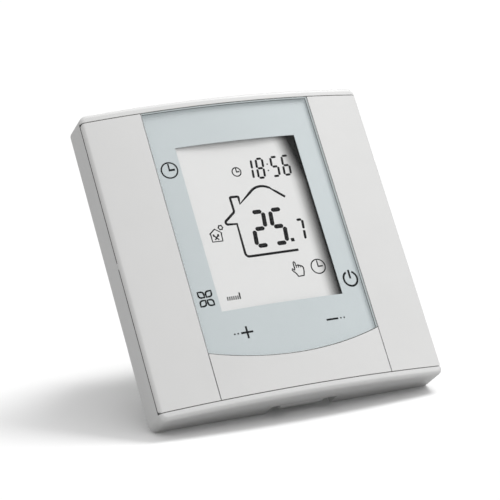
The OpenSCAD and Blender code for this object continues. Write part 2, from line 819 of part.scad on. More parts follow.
module wire_clamp(i) if (i < poles) color("silver") {
    x = pole_x[i];
    w = wire_w / 2 + clamp_side;
    difference() {
        block([x - w, clamp_front, clamp_low], [x + w, clamp_back, clamp_low + clamp_len]);
        block([x - wire_w / 2, clamp_front + clamp_t, clamp_low - 1],
              [x + wire_w / 2, clamp_back - clamp_t, clamp_low + clamp_len + 1]);
        rod(term_r + run, clamp_back - 2, clamp_back + 1, [x, screw_z]);
    }
}

// Latch: a slider behind the bottom wall whose tab shows in the wall's opening
module release_latch() color("gainsboro") {
    front = latch_y - latch_t;
    tab_front = -(wall_gap + latch_open_d - 0.4);
    block([latch_x - shoulder_w / 2, front, shoulder_low], [latch_x + shoulder_w / 2, latch_y, slider_top]);
    block([latch_x - tab_w / 2, tab_front, latch_low], [latch_x + tab_w / 2, latch_y, shoulder_low + 0.6]);
    translate([latch_x, latch_y - latch_t / 2, slider_top - fit])
        cylinder(r = latch_spring_r - latch_spring_wire - 0.1, h = 1.6, $fn = 24);
}

module latch_spring() color("silver") {
    translate([latch_x, latch_y - latch_t / 2, slider_top])
        coil(latch_spring_r - latch_spring_wire / 2, latch_spring_wire, latch_spring_turns,
             seat_z - slider_top);
}

front_housing();
side_strip_left();
side_strip_right();
lower_fascia();
touch_lens();
print_film();
lcd_glass();
lcd_frame();
light_guide();
backlight_leds();
zebra_strips();
touch_springs();
control_board();
board_screws();
microcontroller();
crystal();
buzzer();
cell_holder();
coin_cell();
air_thermistor();
pin_header();
wall_plate();
rear_box();
box_screws();
power_board();
power_board_screws();
relay();
bulk_capacitors();
film_capacitor();
varistor();
fuse();
transformer_core();
transformer_coil();
socket_header();
terminal_block();
terminal_bars();
release_latch();
latch_spring();
terminal_screw(0);  // terminal_screw_1
terminal_screw(1);  // terminal_screw_2
terminal_screw(2);  // terminal_screw_3
terminal_screw(3);  // terminal_screw_4
terminal_screw(4);  // terminal_screw_5
terminal_screw(5);  // terminal_screw_6
wire_clamp(0);  // wire_clamp_1
wire_clamp(1);  // wire_clamp_2
wire_clamp(2);  // wire_clamp_3
wire_clamp(3);  // wire_clamp_4
wire_clamp(4);  // wire_clamp_5
wire_clamp(5);  // wire_clamp_6
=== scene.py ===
"""Finished pieces, materials, camera and stage for a wall thermostat, laid out as an add-on."""

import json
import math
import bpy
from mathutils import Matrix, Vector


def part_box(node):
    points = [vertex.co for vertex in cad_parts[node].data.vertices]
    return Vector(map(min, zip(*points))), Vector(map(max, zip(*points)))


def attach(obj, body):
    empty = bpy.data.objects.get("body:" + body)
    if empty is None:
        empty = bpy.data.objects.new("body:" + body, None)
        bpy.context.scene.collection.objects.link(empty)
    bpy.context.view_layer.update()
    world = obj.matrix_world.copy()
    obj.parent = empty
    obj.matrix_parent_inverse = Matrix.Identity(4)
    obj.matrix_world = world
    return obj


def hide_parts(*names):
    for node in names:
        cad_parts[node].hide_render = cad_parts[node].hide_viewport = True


bl_info = {
    "name": "Wall Thermostat",
    "version": (1, 0, 0),
    "blender": (4, 5, 0),
    "location": "View3D > Sidebar > Thermostat",
    "description": "Builds the moulded front, its display and keys, the wall unit's finish and a stage",
    "category": "Object",
}

import bpy
from bpy.props import FloatProperty, FloatVectorProperty, PointerProperty
from mathutils import Quaternion, Vector

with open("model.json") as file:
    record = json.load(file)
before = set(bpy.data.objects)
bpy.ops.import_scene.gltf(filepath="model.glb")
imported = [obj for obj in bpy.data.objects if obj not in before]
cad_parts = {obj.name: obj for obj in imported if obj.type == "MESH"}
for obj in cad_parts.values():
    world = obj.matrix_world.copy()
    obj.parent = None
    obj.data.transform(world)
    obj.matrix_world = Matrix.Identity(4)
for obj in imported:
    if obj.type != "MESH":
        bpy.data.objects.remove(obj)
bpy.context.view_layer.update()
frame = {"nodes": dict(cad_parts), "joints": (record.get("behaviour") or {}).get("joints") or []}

MM = 0.001
HOUSING_LOW, HOUSING_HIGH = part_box("front_housing")
LENS_LOW, LENS_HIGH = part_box("touch_lens")
GLASS_LOW, GLASS_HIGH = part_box("lcd_glass")
BOX_LOW, BOX_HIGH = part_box("rear_box")
FRONT_Y = HOUSING_LOW.y
FRONT = "front_unit"
FAR = 0.2  # metres, beyond every face, for tools that cut right through

# Fixed sizes of the mouldings
GLUE_GAP = 0.02 * MM  # between a panel and the deck behind it
PANEL_COLUMN = 2.1 * MM  # width of the columns that follow the crown
HOUSING_COLUMN = 2.4 * MM
CROWN_LIMIT_Y = -9.9 * MM  # the housing is crowned in front of this depth only
DISPLAY_GAP = 0.3 * MM
DISPLAY_CUT_DEPTH = 3.2 * MM
SPRING_RADIUS = 1.8 * MM
SPRING_HOLE_RADIUS = 2.2 * MM
SIDE_KEY_Z = -14.2 * MM
LOWER_KEY_X = 13.0 * MM
SCREW_HEAD_RADIUS = 1.9 * MM
BOSS_RADIUS = 2.4 * MM
BOSS_HOLE_RADIUS = 1.05 * MM
BOSS_HOLE_DEPTH = 3.4 * MM
LUG_X = 25.0 * MM
LUG_HALF_WIDTH = 4.0 * MM
BAR_HOLE_RADIUS = 0.86 * MM
LATCH_HALF_WIDTH = 10.0 * MM
LATCH_CUT_DEPTH = 5.6 * MM
RIB_HALF_WIDTH = 0.8 * MM
AIR_SLOTS = 6
AIR_SLOT_PITCH = 5.0 * MM
AIR_SLOT_HALF_WIDTH = 0.8 * MM
STRIP_REBATE = 1.2 * MM
STRIP_BRIDGE_HALF = 0.875 * MM
GLASS_LEDGE = 1.3 * MM


# ---- sizes and colours that a user would change ----


def length(name, description, default_mm):
    return FloatProperty(
        name=name, description=description, default=default_mm * MM, subtype="DISTANCE", unit="LENGTH"
    )


def colour(name, description, default):
    return FloatVectorProperty(
        name=name, description=description, default=default, size=3, subtype="COLOR", min=0, max=1
    )


class ThermostatSizes(bpy.types.PropertyGroup):
    crown: length("Crown", "How far the face's middle stands proud of its side edges", 4.0)
    panel: length("Panel thickness", "Thickness of the strips, the fascia, and lens with film", 1.35)
    deck: length("Deck thickness", "Thickness of the deck that the panels lie on", 1.6)
    wall: length("Wall thickness", "Thickness of the housing's four walls", 1.8)
    seam: length("Seam", "Gap between neighbouring panels", 0.25)
    rim: length("Rim", "Width of the rim above and below the panels", 2.3)
    rim_round: length("Rim rounding", "Rounding of the rim's outer edge", 1.2)
    corner: length("Corner radius", "Radius of the housing's corners, seen from the front", 2.0)
    strip_round: length("Strip rounding", "Rounding of the side strips' outer edges", 1.1)
    lens_bulge: length("Lens bulge", "How far the lens's lower edge bulges below its corners", 4.0)
    film: length("Film thickness", "Thickness of the printed film behind the lens", 0.25)
    window_width: length("Window width", "Width of the clear window in the film", 37.0)
    window_height: length("Window height", "Height of the clear window in the film", 49.4)
    window_middle: length("Window middle", "Height of the window's middle above mid-height", 6.6)
    edge: length("Edge softness", "Small rounding of moulded edges", 0.12)
    ink: length("Ink thickness", "Thickness of printed marks and display segments", 0.025)


class ThermostatColours(bpy.types.PropertyGroup):
    housing: colour("Housing", "Moulded front housing and latch", (0.64, 0.64, 0.636))
    panels: colour("Panels", "Side strips and lower fascia", (0.64, 0.639, 0.634))
    film: colour("Film", "Printed field behind the lens", (0.535, 0.58, 0.592))
    ink: colour("Ink", "Printed key marks", (0.006, 0.008, 0.009))
    display: colour("Display", "Clear field of the display", (0.735, 0.73, 0.725))
    segments: colour("Segments", "Driven segments of the display", (0.004, 0.004, 0.005))
    plate: colour("Plate", "Wall plate", (0.66, 0.66, 0.65))
    box: colour("Box", "Power box in the wall", (0.60, 0.60, 0.59))
    terminals: colour("Terminals", "Terminal block", (0.03, 0.22, 0.07))
    solder_mask: colour("Solder mask", "Coating of both circuit boards", (0.012, 0.13, 0.05))
    floor: colour("Floor", "Stage floor", (0.86, 0.86, 0.86))


def sizes():
    return bpy.context.scene.thermostat_sizes


def colours():
    return bpy.context.scene.thermostat_colours


# ---- modelling helpers ----


def deselect():
    bpy.ops.object.select_all(action="DESELECT")


def only(piece):
    """Makes the piece the one selected and active object."""
    deselect()
    bpy.context.view_layer.objects.active = piece
    piece.select_set(True)


def apply_place(piece):
    only(piece)
    bpy.ops.object.transform_apply(location=True, rotation=True, scale=True)
    return piece


def block(low, high):
    """A box from its lowest corner to its highest."""
    low, high = Vector(low), Vector(high)
    deselect()
    bpy.ops.mesh.primitive_cube_add(size=1, location=(low + high) / 2)
    bpy.context.object.scale = high - low
    return apply_place(bpy.context.object)


def cylinder(radius, length, middle, turn, sides):
    """A cylinder about its middle, turned from Z by these angles."""
    deselect()
    bpy.ops.mesh.primitive_cylinder_add(
        vertices=sides, radius=radius, depth=length, location=middle, rotation=turn
    )
    return apply_place(bpy.context.object)


def rod(radius, y0, y1, x=0.0, z=0.0, sides=48):
    """A cylinder along Y between two depths."""
    return cylinder(radius, abs(y1 - y0), (x, (y0 + y1) / 2, z), (math.pi / 2, 0, 0), sides)


def add_modifier(piece, kind, **settings):
    """Adds a modifier with these settings and applies it."""
    only(piece)
    modifier = piece.modifiers.new(kind.title(), kind)
    for key, value in settings.items():
        setattr(modifier, key, value)
    bpy.ops.object.modifier_apply(modifier=modifier.name)


def combine(piece, tool, operation):
    add_modifier(piece, "BOOLEAN", operation=operation, object=tool, solver="EXACT")
    bpy.data.objects.remove(tool)


def cut(piece, tool):
    combine(piece, tool, "DIFFERENCE")


def weld_on(piece, tool):
    combine(piece, tool, "UNION")


def keep_inside(piece, tool):
    combine(piece, tool, "INTERSECT")


def pick_edges(piece, test):
    """Selects the edges whose two ends pass the test, and nothing else."""
    mesh = piece.data
    for group in (mesh.vertices, mesh.edges, mesh.polygons):
        for item in group:
            item.select = False
    for edge in mesh.edges:
        a, b = (mesh.vertices[i].co for i in edge.vertices)
        edge.select = test(a, b)


def bevel_edges(piece, test, width, segments):
    only(piece)
    bpy.context.tool_settings.mesh_select_mode = (False, True, False)
    pick_edges(piece, test)
    bpy.ops.object.mode_set(mode="EDIT")
    bpy.ops.mesh.bevel(offset=width, segments=segments, affect="EDGES", clamp_overlap=False)
    bpy.ops.object.mode_set(mode="OBJECT")


def near(a, b):
    return abs(a - b) < 1e-6


def along_y(a, b):
    return near(a.x, b.x) and near(a.z, b.z)


def soften(piece, width=None, angle=32, segments=2):
    """Rounds every edge that is sharper than the angle."""
    add_modifier(
        piece, "BEVEL", width=width or sizes().edge, segments=segments, limit_method="ANGLE",
        angle_limit=math.radians(angle), use_clamp_overlap=True,
    )


def slice_columns(piece, low, high, step):
    """Cuts the piece into columns, so that it can follow the crowned face."""
    count = max(1, round((high - low) / step))
    only(piece)
    bpy.ops.object.mode_set(mode="EDIT")
    for i in range(1, count):
        bpy.ops.mesh.select_all(action="SELECT")
        bpy.ops.mesh.bisect(plane_co=(low + (high - low) * i / count, 0, 0), plane_no=(1, 0, 0))
    bpy.ops.object.mode_set(mode="OBJECT")


def crown_radius():
    half = HOUSING_HIGH.x
    crown = sizes().crown
    return (half * half + crown * crown) / (2 * crown)


def crown_drop(x):
    """How far the crowned face falls back at this distance from the middle."""
    radius = crown_radius()
    return radius - math.sqrt(radius * radius - x * x)


def crown(piece, behind=FAR):
    """Lays a piece that was modelled flat onto the crowned face, apart from what lies behind a depth."""
    for vertex in piece.data.vertices:
        if vertex.co.y < behind:
            vertex.co.y += crown_drop(vertex.co.x)


def shade(piece, angle=32):
    only(piece)
    bpy.ops.object.shade_smooth_by_angle(angle=math.radians(angle))
    add_modifier(piece, "WEIGHTED_NORMAL", keep_sharp=True)


def settle(piece, name, material, body, slot, *nodes):
    """Names a finished piece, gives it its material, hangs it under its body's empty, and hides the
    nodes that it replaces.
    """
    piece.name = name
    piece.data.name = name
    if not piece.data.materials:
        piece.data.materials.append(material)
    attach(piece, body)
    if nodes:
        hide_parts(*nodes)
    return piece


# ---- material helpers ----


def start_material(name, base, roughness, **sockets):
    """A Principled material; the even values go straight on the shader."""
    material = bpy.data.materials.new(name + "_finish")
    material.use_nodes = True
    shader = material.node_tree.nodes["Principled BSDF"]
    shader.inputs["Base Color"].default_value = (*base, 1)
    shader.inputs["Roughness"].default_value = roughness
    for key, value in sockets.items():
        shader.inputs[key.replace("_", " ").title()].default_value = value
    return material, material.node_tree.nodes, material.node_tree.links, shader


def plain_material(name):
    """A material whose surface is put together from plain shaders."""
    material = bpy.data.materials.new(name + "_finish")
    material.use_nodes = True
    nodes = material.node_tree.nodes
    nodes.remove(nodes["Principled BSDF"])
    return material, nodes, material.node_tree.links


def finish_of(name):
    return bpy.data.materials[name + "_finish"]


def plain_shader(nodes, kind, tint=(1, 1, 1)):
    shader = nodes.new("ShaderNode" + kind)
    shader.inputs["Color"].default_value = (*tint, 1)
    return shader


def mix_shaders(nodes, links, share, first, second):
    """Blends two shaders; share is the second one's part."""
    mix = nodes.new("ShaderNodeMixShader")
    for target, source in zip(mix.inputs, (share, first.outputs[0], second.outputs[0])):
        links.new(source, target)
    return mix


def show(nodes, links, shader, output="Material Output"):
    links.new(shader.outputs[0], nodes[output].inputs["Surface"])


def object_place(nodes):
    return nodes.new("ShaderNodeTexCoord").outputs["Object"]


def back_side(nodes):
    return nodes.new("ShaderNodeNewGeometry").outputs["Backfacing"]


def object_axes(nodes, links):
    split = nodes.new("ShaderNodeSeparateXYZ")
    links.new(object_place(nodes), split.inputs["Vector"])
    return split.outputs


def map_range(nodes, links, source, low, high, to_low=0.0, to_high=1.0, kind="LINEAR"):
    """Maps values between low and high onto another range."""
    span = nodes.new("ShaderNodeMapRange")
    span.interpolation_type = kind
    for key, value in (("From Min", low), ("From Max", high), ("To Min", to_low), ("To Max", to_high)):
        span.inputs[key].default_value = value
    links.new(source, span.inputs["Value"])
    return span.outputs["Result"]


def calculate(nodes, links, operation, *terms):
    """A Math node; each term is a number or another node's output."""
    node = nodes.new("ShaderNodeMath")
    node.operation = operation
    for i, term in enumerate(terms):
        if isinstance(term, float):
            node.inputs[i].default_value = term
        else:
            links.new(term, node.inputs[i])
    return node.outputs["Value"]


def object_noise(nodes, links, scale, detail=3.0, rough=0.5):
    noise = nodes.new("ShaderNodeTexNoise")
    for key, value in (("Scale", scale), ("Detail", detail), ("Roughness", rough)):
        noise.inputs[key].default_value = value
    links.new(object_place(nodes), noise.inputs["Vector"])
    return noise.outputs["Fac"]


def ramp(nodes, links, source, stops):
    """A colour ramp with these (position, colour) stops, fed by source."""
    band = nodes.new("ShaderNodeValToRGB")
    elements = band.color_ramp.elements
    elements[0].position, elements[0].color = stops[0][0], (*stops[0][1], 1)
    elements[1].position, elements[1].color = stops[-1][0], (*stops[-1][1], 1)
    for position, value in stops[1:-1]:
        elements.new(position).color = (*value, 1)
    links.new(source, band.inputs["Fac"])
    return band.outputs["Color"]


def shade_of(base, factor):
    return tuple(min(1.0, c * factor) for c in base)


def add_bump(nodes, links, shader, height, depth):
    bump = nodes.new("ShaderNodeBump")
    bump.inputs["Strength"].default_value = 1.0
    bump.inputs["Distance"].default_value = depth
    links.new(height, bump.inputs["Height"])
    links.new(bump.outputs["Normal"], shader.inputs["Normal"])


def add_grain(nodes, links, shader, scale, depth):
    add_bump(nodes, links, shader, object_noise(nodes, links, scale, 2.0), depth)


def add_wear(nodes, links, shader, scale, low, high):
    """Roughness that drifts between two values."""
    noise = object_noise(nodes, links, scale, 4.0, 0.6)
    links.new(map_range(nodes, links, noise, 0.3, 0.7, low, high), shader.inputs["Roughness"])


def add_drift(nodes, links, shader, base, scale, spread):
    """Base colour that drifts a little around its middle value."""
    band = ramp(nodes, links, object_noise(nodes, links, scale),
                [(0.3, shade_of(base, 1 - spread)), (0.7, shade_of(base, 1 + spread))])
    links.new(band, shader.inputs["Base Color"])


def moulded_plastic(name, base, roughness=0.42, grain=2600.0, depth=0.000006, spread=0.012):
    """Injection-moulded plastic with a fine spark-eroded texture."""
    material, nodes, links, shader = start_material(name, base, roughness)
    shader.inputs["Specular IOR Level"].default_value = 0.4
    add_drift(nodes, links, shader, base, 60.0, spread)
    add_wear(nodes, links, shader, 180.0, roughness - 0.05, roughness + 0.07)
    add_grain(nodes, links, shader, grain, depth)
    return material


def plated_metal(name, base, roughness=0.28, scale=900.0):
    """Plated metal with faint tool marks."""
    material, nodes, links, shader = start_material(name, base, roughness, metallic=1.0)
    add_drift(nodes, links, shader, base, 500.0, 0.08)
    add_wear(nodes, links, shader, scale, roughness - 0.08, roughness + 0.14)
    add_grain(nodes, links, shader, scale * 3, 0.000004)
    return material


def clear_lens():
    """Polished clear plastic: what lies behind shows through, and only gloss is added."""
    material, nodes, links = plain_material("clear_lens")
    clear = plain_shader(nodes, "BsdfTransparent", (0.995, 0.997, 0.997))
    gloss = plain_shader(nodes, "BsdfGlossy")
    noise = object_noise(nodes, links, 400.0, 4.0, 0.6)
    links.new(map_range(nodes, links, noise, 0.0, 1.0, 0.10, 0.18), gloss.inputs["Roughness"])
    edge = nodes.new("ShaderNodeFresnel")
    edge.inputs["IOR"].default_value = 1.25
    outer = calculate(nodes, links, "SUBTRACT", 1.0, back_side(nodes))
    share = calculate(nodes, links, "MULTIPLY", edge.outputs["Fac"], outer)
    show(nodes, links, mix_shaders(nodes, links, share, clear, gloss))
    return material


def lens_edge():
    """The lens's sides: pale outside, and inside an emission that is painted light, standing in for the
    light caught in the plate.
    """
    material, nodes, links = plain_material("lens_edge")
    pale = plain_shader(nodes, "BsdfDiffuse", (0.88, 0.9, 0.9))
    painted_glow = plain_shader(nodes, "Emission", (0.9, 0.99, 1))
    # painted light: the inner side faces emit at this strength
    painted_glow.inputs["Strength"].default_value = 0.48
    show(nodes, links, mix_shaders(nodes, links, back_side(nodes), pale, painted_glow))
    return material


def printed_film():
    """Screen-printed field with a very fine screen and a slow drift in tone."""
    base = colours().film
    material, nodes, links, shader = start_material("printed_film", base, 0.5)
    add_drift(nodes, links, shader, base, 40.0, 0.02)
    add_wear(nodes, links, shader, 300.0, 0.42, 0.55)
    add_grain(nodes, links, shader, 9000.0, 0.000002)
    return material


def printed_ink(name, base):
    material, nodes, links, shader = start_material(name, base, 0.7)
    shader.inputs["Specular IOR Level"].default_value = 0.1
    add_drift(nodes, links, shader, base, 2000.0, 0.25)
    add_wear(nodes, links, shader, 1500.0, 0.6, 0.8)
    return material


def display_field():
    """Reflective display: a pale field with painted shade that darkens it towards its right edge and
    upper right corner, beside the window's edge.
    """
    base = colours().display
    material, nodes, links, shader = start_material("display_field", base, 0.35)
    shader.inputs["Specular IOR Level"].default_value = 0.1
    place = object_axes(nodes, links)
    edge_x = sizes().window_width / 2
    top = sizes().window_middle + sizes().window_height / 2
    # painted shade: the field darkens towards the window's right edge, reaching further in near the top
    reach = map_range(nodes, links, place["Z"], top - 14 * MM, top, 0.0, 2.4 * MM)
    shifted = calculate(nodes, links, "ADD", place["X"], reach)
    span = map_range(nodes, links, shifted, edge_x - 5 * MM, edge_x + 0.4 * MM)
    painted_shade_steps = ((0.0, 1.0), (0.22, 0.84), (0.46, 0.47), (0.68, 0.18), (0.84, 0.05), (0.93, 0.0))
    band = ramp(nodes, links, span, [(at, shade_of(base, level)) for at, level in painted_shade_steps])
    links.new(band, shader.inputs["Base Color"])
    add_wear(nodes, links, shader, 500.0, 0.3, 0.4)
    add_grain(nodes, links, shader, 8000.0, 0.000001)
    return material


def circuit_board():
    """Green solder mask over copper tracks, with tinned vias."""
    base = colours().solder_mask
    material, nodes, links, shader = start_material("circuit_board", base, 0.3)
    turn = nodes.new("ShaderNodeMapping")
    turn.inputs["Rotation"].default_value = (math.pi / 2, 0, 0)
    links.new(object_place(nodes), turn.inputs["Vector"])
    tracks = nodes.new("ShaderNodeTexBrick")
    tracks.inputs["Scale"].default_value = 260.0
    tracks.inputs["Mortar Size"].default_value = 0.06
    for key, factor in (("Color1", 1.0), ("Color2", 0.85), ("Mortar", 2.1)):
        tracks.inputs[key].default_value = (*shade_of(base, factor), 1)
    links.new(turn.outputs["Vector"], tracks.inputs["Vector"])
    vias = nodes.new("ShaderNodeTexVoronoi")
    vias.inputs["Scale"].default_value = 230.0
    links.new(turn.outputs["Vector"], vias.inputs["Vector"])
    mix = nodes.new("ShaderNodeMixRGB")
    mix.inputs["Color2"].default_value = (0.55, 0.52, 0.42, 1)
    spots = ramp(nodes, links, vias.outputs["Distance"], [(0.07, (1, 1, 1)), (0.1, (0, 0, 0))])
    links.new(spots, mix.inputs["Fac"])
    links.new(tracks.outputs["Color"], mix.inputs["Color1"])
    links.new(mix.outputs["Color"], shader.inputs["Base Color"])
    add_bump(nodes, links, shader, tracks.outputs["Fac"], 0.00002)
    add_wear(nodes, links, shader, 400.0, 0.22, 0.38)
    return material


def striped(name, base, other, scale, axis="X", share=0.5, roughness=0.5):
    """Even stripes across one axis, such as the layers of a contact strip."""
    material, nodes, links, shader = start_material(name, base, roughness)
    wave = nodes.new("ShaderNodeTexWave")
    wave.bands_direction = axis
    wave.inputs["Scale"].default_value = scale
    links.new(object_place(nodes), wave.inputs["Vector"])
    band = ramp(nodes, links, wave.outputs["Fac"], [(share - 0.05, base), (share + 0.05, other)])
    links.new(band, shader.inputs["Base Color"])
    add_wear(nodes, links, shader, 700.0, roughness - 0.08, roughness + 0.08)
    add_grain(nodes, links, shader, 3000.0, 0.000006)
    return material


def capped(name, base, cap, low, high):
    """A body of one colour with metal caps outside two places along X."""
    material, nodes, links, shader = start_material(name, base, 0.3)
    offset = calculate(nodes, links, "SUBTRACT", object_axes(nodes, links)["X"], (low + high) / 2)
    away = calculate(nodes, links, "ABSOLUTE", offset)
    outside = calculate(nodes, links, "GREATER_THAN", away, (high - low) / 2)
    mix = nodes.new("ShaderNodeMixRGB")
    mix.inputs["Color1"].default_value = (*base, 1)
    mix.inputs["Color2"].default_value = (*cap, 1)
    links.new(outside, mix.inputs["Fac"])
    links.new(mix.outputs["Color"], shader.inputs["Base Color"])
    links.new(outside, shader.inputs["Metallic"])
    add_wear(nodes, links, shader, 900.0, 0.22, 0.4)
    add_grain(nodes, links, shader, 2500.0, 0.000005)
    return material


# ---- camera, lights and floor ----


CAMERA_TARGET = Vector((2.0, 2.2, 3.8)) * MM
CAMERA_DISTANCE = 580.0 * MM
CAMERA_AZIMUTH = math.radians(25.88)
CAMERA_ELEVATION = math.radians(-18.15)
CAMERA_ROLL = math.radians(-16.41)
CAMERA_LENS_MM = 146.93

FLOOR_RADIUS = 4.0
FLOOR_BOUNCE = 0.62  # share of the floor's tone that lights the object
FLOOR_FADE = (0.065, 0.12)  # distances over which the floor turns white
FLOOR_WHITE = (0.55, 1.03)  # its strength in bounces, and as seen
WORLD_FRONT = (0, -0.8, 0.6)
WORLD_LEVEL = (0.33, 1.14)  # strength beside and in front of the object
WORLD_SEEN = 1.05
KEY_DIRECTION = Vector((0.55, -0.45, 0.75))
KEY_DISTANCE = 0.9
KEY_SIZE = 0.4
KEY_POWER = 5.2


def camera_turn():
    """The camera's rotation, which looks at the target with the object leaning back on its box."""
    flat = math.cos(CAMERA_ELEVATION)
    look = Vector((
        math.sin(CAMERA_AZIMUTH) * flat, math.cos(CAMERA_AZIMUTH) * flat, -math.sin(CAMERA_ELEVATION)
    ))
    turn = look.to_track_quat("-Z", "Y") @ Quaternion((0, 0, 1), CAMERA_ROLL)
    return look, turn


class THERMOSTAT_OT_camera(bpy.types.Operator):
    """Add the camera"""

    bl_idname = "thermostat.camera"
    bl_label = "Camera"

    def execute(self, context):
        look, turn = camera_turn()
        data = bpy.data.cameras.new("Camera")
        data.sensor_width = 36.0
        data.lens = CAMERA_LENS_MM
        data.clip_start = 0.01
        camera = bpy.data.objects.new("Camera", data)
        camera.location = CAMERA_TARGET - look * CAMERA_DISTANCE
        camera.rotation_mode = "QUATERNION"
        camera.rotation_quaternion = turn
        context.scene.collection.objects.link(camera)
        context.scene.camera = camera
        return {"FINISHED"}


def floor_material():
    """Pale near the object, white further out, and clear from below, so that it hides nothing."""
    material, nodes, links = plain_material("stage_floor")
    seen = nodes.new("ShaderNodeLightPath").outputs["Is Camera Ray"]
    base = colours().floor
    tone = ramp(nodes, links, seen, [(0.0, shade_of(base, FLOOR_BOUNCE)), (1.0, base)])
    pale = plain_shader(nodes, "BsdfDiffuse")
    links.new(tone, pale.inputs["Color"])
    white = plain_shader(nodes, "Emission")
    links.new(map_range(nodes, links, seen, 0.0, 1.0, *FLOOR_WHITE), white.inputs["Strength"])
    away = nodes.new("ShaderNodeVectorMath")
    away.operation = "LENGTH"
    links.new(object_place(nodes), away.inputs[0])
    reach = map_range(nodes, links, away.outputs["Value"], *FLOOR_FADE, kind="SMOOTHSTEP")
    fade = mix_shaders(nodes, links, reach, pale, white)
    clear = plain_shader(nodes, "BsdfTransparent")
    show(nodes, links, mix_shaders(nodes, links, back_side(nodes), fade, clear))
    return material


def studio_world():
    """White, brighter in front of the object than beside it, and even where the camera sees it."""
    world = bpy.data.worlds.new("studio")
    world.use_nodes = True
    nodes, links = world.node_tree.nodes, world.node_tree.links
    soft = nodes["Background"]
    soft.inputs["Color"].default_value = (1, 1, 1, 1)
    front = nodes.new("ShaderNodeVectorMath")
    front.operation = "DOT_PRODUCT"
    front.inputs[1].default_value = WORLD_FRONT
    links.new(nodes.new("ShaderNodeTexCoord").outputs["Generated"], front.inputs[0])
    level = map_range(nodes, links, front.outputs["Value"], 0.0, 1.0, *WORLD_LEVEL)
    links.new(level, soft.inputs["Strength"])
    seen = plain_shader(nodes, "Background")
    seen.inputs["Strength"].default_value = WORLD_SEEN
    path = nodes.new("ShaderNodeLightPath")
    mix = mix_shaders(nodes, links, path.outputs["Is Camera Ray"], soft, seen)
    show(nodes, links, mix, "World Output")
    return world


def add_light(name, direction, distance, size, power):
    """A soft square light that looks at the object from a direction."""
    data = bpy.data.lights.new(name, "AREA")
    data.size = size
    data.energy = power
    light = bpy.data.objects.new(name, data)
    light.location = direction.normalized() * distance
    light.rotation_mode = "QUATERNION"
    light.rotation_quaternion = (-direction).to_track_quat("-Z", "Y")
    bpy.context.scene.collection.objects.link(light)


class THERMOSTAT_OT_stage(bpy.types.Operator):
    """Add the pale floor, the world and the soft light"""

    bl_idname = "thermostat.stage"
    bl_label = "Stage"

    def execute(self, context):
        foot = Vector((0, HOUSING_HIGH.y, HOUSING_LOW.z))
        heel = Vector((0, BOX_HIGH.y, BOX_LOW.z))
        tilt = math.atan2(heel.z - foot.z, heel.y - foot.y)
        above = Vector((0, -math.sin(tilt), math.cos(tilt)))
        deselect()
        bpy.ops.mesh.primitive_circle_add(
            vertices=96, radius=FLOOR_RADIUS, fill_type="NGON",
            location=foot - above * 0.1 * MM, rotation=(tilt, 0, 0),
        )
        floor = apply_place(context.object)
        floor.name = "stage_floor"
        floor.data.materials.append(floor_material())

        context.scene.world = studio_world()
        add_light("key", KEY_DIRECTION, KEY_DISTANCE, KEY_SIZE, KEY_POWER)
        context.scene.view_settings.view_transform = "Standard"
        return {"FINISHED"}


# ---- front unit ----


def seam_z():
    """Half-height of the recess that the panels lie in."""
    return HOUSING_HIGH.z - sizes().rim + sizes().seam / 2


def panel_z():
    return seam_z() - sizes().seam


def lens_half_width():
    return LENS_HIGH.x


def strip_start():
    return lens_half_width() + sizes().seam


def bulge_radius():
    """Radius of the lens's lower edge."""
    half = lens_half_width() + sizes().seam / 2
    bulge = sizes().lens_bulge
    return (half * half + bulge * bulge) / (2 * bulge)


def bulge_disc(extra):
    """A round tool that ends at the lens's lower edge, made larger by extra."""
    radius = bulge_radius()
    return rod(radius + extra, FRONT_Y - FAR, FRONT_Y + FAR, 0, LENS_LOW.z + radius, sides=900)


def window_tool(grow):
    s = sizes()
    half_w = s.window_width / 2 + grow
    half_h = s.window_height / 2 + grow
    return block((-half_w, FRONT_Y - FAR, s.window_middle - half_h),
                 (half_w, FRONT_Y + FAR, s.window_middle + half_h))


def key_places():
    """[x, z] of each touch spring behind its key, from the group's own box."""
    low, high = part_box("touch_springs")
    side = high.x - SPRING_RADIUS
    bottom = low.z + SPRING_RADIUS
    return [(-side, high.z - SPRING_RADIUS), (-side, SIDE_KEY_Z), (side, SIDE_KEY_Z),
            (-LOWER_KEY_X, bottom), (LOWER_KEY_X, bottom)]


